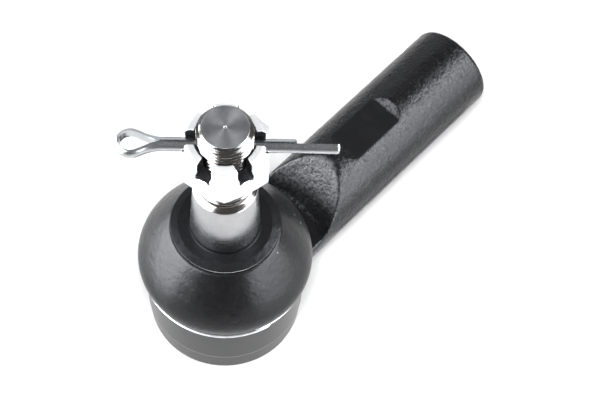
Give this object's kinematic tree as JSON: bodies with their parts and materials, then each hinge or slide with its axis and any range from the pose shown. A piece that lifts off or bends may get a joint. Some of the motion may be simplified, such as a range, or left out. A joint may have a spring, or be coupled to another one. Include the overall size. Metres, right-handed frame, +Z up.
{
  "type": "tie rod end",
  "caption": "Outer tie rod end: forged socket with threaded shank, tapered ball stud under a rubber boot, castle nut and cotter pin.",
  "frame": {"origin": "centre of the housing's flat underside, on the ball stud's axis", "axes": "+Z up the ball stud, +X along the shank to its open threaded end"},
  "size_m": [0.1036, 0.0402, 0.0818],
  "materials": {
    "forging": "satin black paint over a forged surface",
    "polished_steel": "ground and polished",
    "bearing_plastic": "moulded acetal",
    "spring_steel": "oiled",
    "plated_steel": "pressed, zinc plated",
    "rubber": "smooth moulded rubber",
    "bright_wire": "bright spring wire",
    "zinc": "bright zinc plate"
  },
  "bodies": {
    "housing": {"housing": "forging", "upper_bearing_shell": "bearing_plastic", "lower_bearing_shell": "bearing_plastic", "preload_spring": "spring_steel", "end_cover": "plated_steel", "boot_lower_ring": "bright_wire"},
    "boot": {"dust_boot": "rubber"},
    "boot_collar": {"boot_upper_ring": "bright_wire"},
    "stud": {"ball_stud": "polished_steel", "castle_nut": "zinc"},
    "pin": {"cotter_pin": "zinc"}
  },
  "joints": [
    {"name": "tilt_x", "type": "hinge", "parent": "housing", "child": "boot", "pos_m": [0, 0, 0.0145], "axis": [1, 0, 0], "range_deg": [-18, 18], "deforming": ["dust_boot"]},
    {"name": "tilt_y", "type": "hinge", "parent": "boot", "child": "boot_collar", "pos_m": [0, 0, 0.0145], "axis": [0, 1, 0], "range_deg": [-18, 18], "deforming": ["dust_boot"]},
    {"name": "stud_spin", "type": "hinge", "parent": "boot_collar", "child": "stud", "pos_m": [0, 0, 0.0145], "axis": [0, 0, 1], "continuous": true},
    {"name": "pin_pull", "type": "slide", "parent": "stud", "child": "pin", "axis": [-0.682, 0.7314, 0], "range_m": [0, 0.036]}
  ]
}
